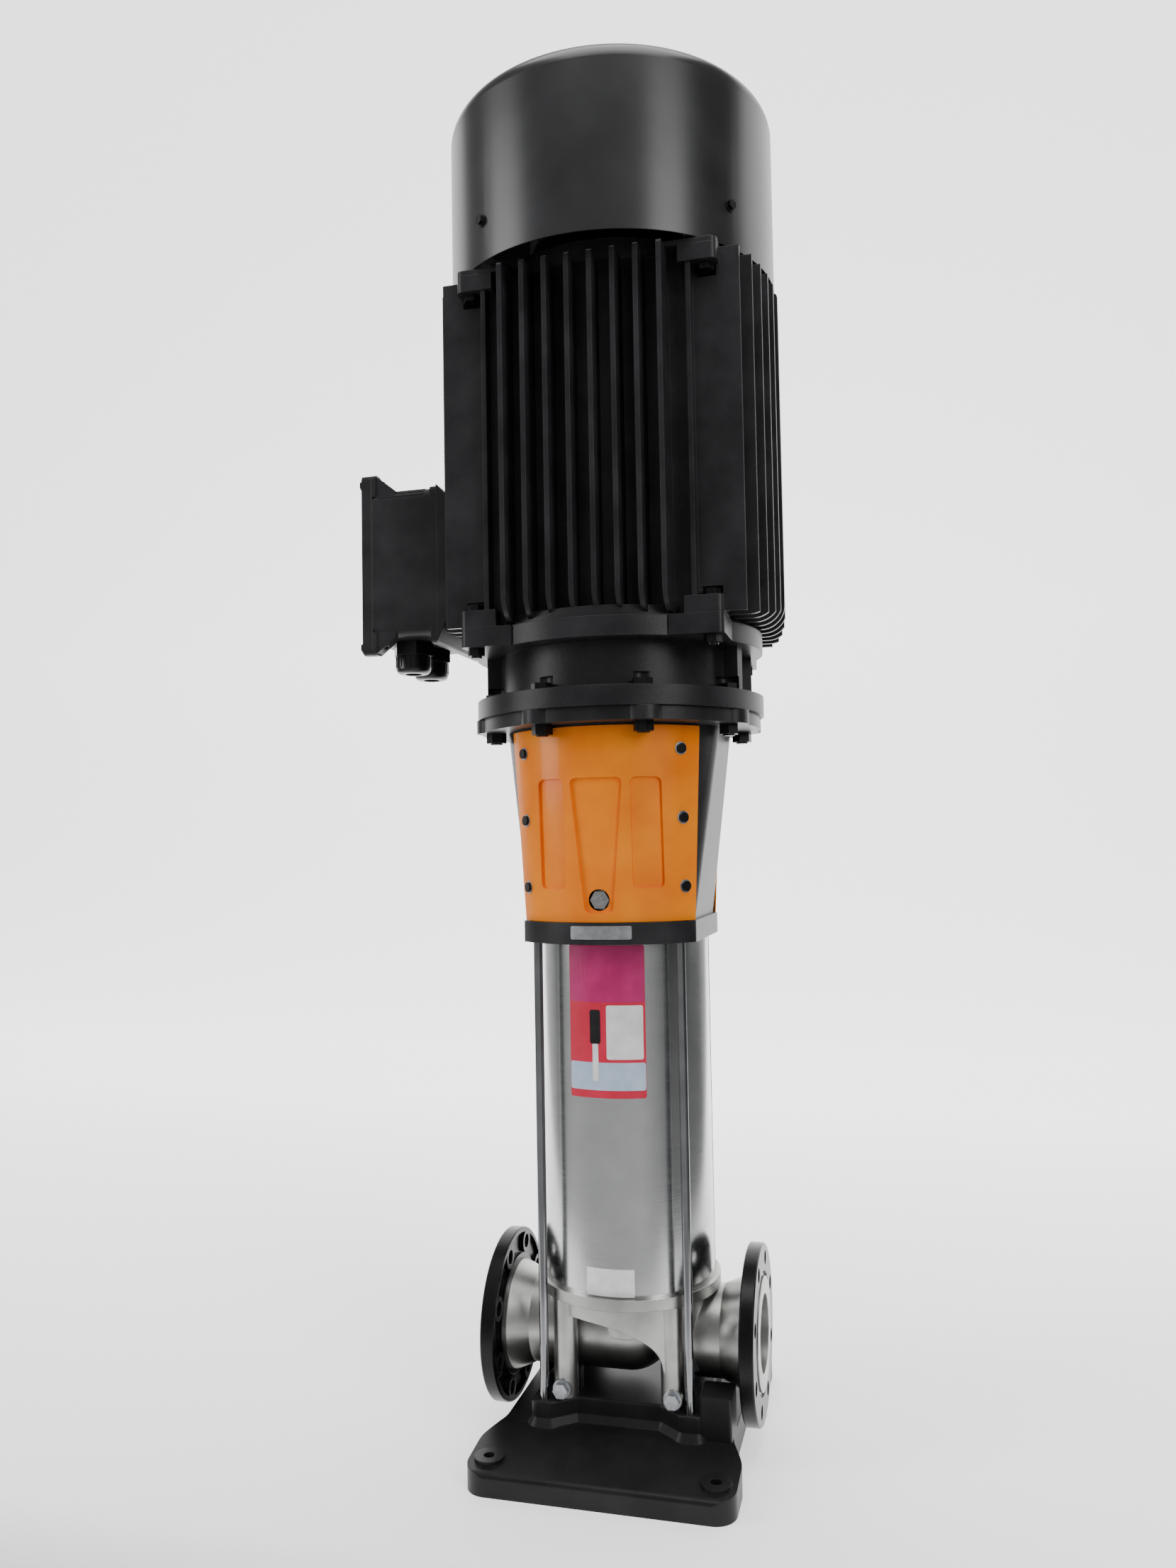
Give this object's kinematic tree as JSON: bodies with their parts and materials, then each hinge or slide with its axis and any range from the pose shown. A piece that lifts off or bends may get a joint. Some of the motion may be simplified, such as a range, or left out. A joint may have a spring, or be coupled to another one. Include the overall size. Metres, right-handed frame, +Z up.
{
  "type": "vertical multistage pump",
  "caption": "Upright in-line pump: finned flanged motor on a windowed stool with curved guards, over a sleeve of stacked impeller chambers and a cast base with round loose port flanges.",
  "frame": {"origin": "centre of the foot's underside, on the shaft axis", "axes": "+Z up along the shaft, +X along the ports towards the outlet, -Y towards the front guard"},
  "size_m": [0.588, 0.456, 1.811],
  "materials": {
    "black_painted_casting": "satin paint on cast iron",
    "black_painted_sheet": "satin paint on pressed sheet",
    "black_gloss_plastic": "moulded cable entries",
    "orange_painted_sheet": "gloss paint on pressed sheet",
    "stainless_casting": "bead-blasted stainless casting",
    "polished_stainless": "polished stainless tube, sheet and bar",
    "zinc_steel": "zinc-plated steel",
    "carbon_steel": "machined steel",
    "electrical_steel": "stacked laminations",
    "copper_winding": "varnished copper wire",
    "cast_aluminium": "cast aluminium",
    "fan_plastic": "moulded plastic",
    "board_plastic": "moulded insulating board",
    "rubber_seal": "seal rubber",
    "bearing_bronze": "bearing bronze",
    "seal_face": "carbon and ceramic seal faces"
  },
  "bodies": {
    "pump_frame": {"base_plate": "black_painted_casting", "pump_body": "stainless_casting", "leg_bolts": "zinc_steel", "drain_plug": "polished_stainless", "flange_retaining_rings": "polished_stainless", "outer_sleeve": "polished_stainless", "sleeve_o_rings": "rubber_seal", "tie_rods": "polished_stainless", "tie_rod_nuts": "zinc_steel", "suction_interconnector": "polished_stainless", "bottom_bearing_bush": "bearing_bronze", "stage_chamber_1": "polished_stainless", "stage_chamber_2": "polished_stainless", "stage_chamber_3": "polished_stainless", "stage_chamber_4": "polished_stainless", "stage_chamber_5": "polished_stainless", "discharge_guide": "polished_stainless", "pump_head": "stainless_casting", "seal_gland_plate": "polished_stainless", "seal_seat": "seal_face", "gland_screws": "zinc_steel", "motor_stool": "black_painted_casting", "front_coupling_guard": "orange_painted_sheet", "rear_coupling_guard": "orange_painted_sheet", "guard_screws": "zinc_steel", "flange_bolts": "zinc_steel", "drive_end_shield": "black_painted_casting", "motor_frame": "black_painted_casting", "shield_bolts": "zinc_steel", "non_drive_end_shield": "black_painted_casting", "bearing_outer_rings": "carbon_steel", "stator_core": "electrical_steel", "stator_windings": "copper_winding", "fan_cowl": "black_painted_sheet", "cowl_screws": "zinc_steel", "terminal_box": "black_painted_casting", "terminal_box_gasket": "rubber_seal", "terminal_box_lid": "black_painted_casting", "lid_screws": "zinc_steel", "terminal_board": "board_plastic", "cable_glands": "black_gloss_plastic"},
    "rotor": {"motor_shaft": "carbon_steel", "rotor_core": "electrical_steel", "cooling_fan": "fan_plastic", "bearing_inner_rings": "carbon_steel", "coupling_front_half": "carbon_steel", "coupling_rear_half": "carbon_steel", "coupling_bolts": "zinc_steel", "pump_shaft": "polished_stainless", "impeller_1": "polished_stainless", "impeller_2": "polished_stainless", "impeller_3": "polished_stainless", "impeller_4": "polished_stainless", "impeller_5": "polished_stainless", "impeller_spacers": "polished_stainless", "seal_rotating_part": "seal_face"},
    "inlet_flange_ring": {"inlet_flange": "black_painted_casting"},
    "outlet_flange_ring": {"outlet_flange": "black_painted_casting"},
    "vent": {"vent_plug": "polished_stainless"}
  },
  "joints": [
    {"name": "rotor_spin", "type": "hinge", "parent": "pump_frame", "child": "rotor", "pos_m": [0, 0, 0.9], "axis": [0, 0, 1], "continuous": true},
    {"name": "inlet_flange_turn", "type": "hinge", "parent": "pump_frame", "child": "inlet_flange_ring", "pos_m": [-0.1715, 0, 0.14], "axis": [-1, 0, 0], "continuous": true},
    {"name": "outlet_flange_turn", "type": "hinge", "parent": "pump_frame", "child": "outlet_flange_ring", "pos_m": [0.1715, 0, 0.14], "axis": [1, 0, 0], "continuous": true},
    {"name": "vent_turn", "type": "hinge", "parent": "pump_frame", "child": "vent", "pos_m": [0, -0.127, 0.726], "axis": [0, -1, 0], "range_deg": [0, 360]}
  ]
}
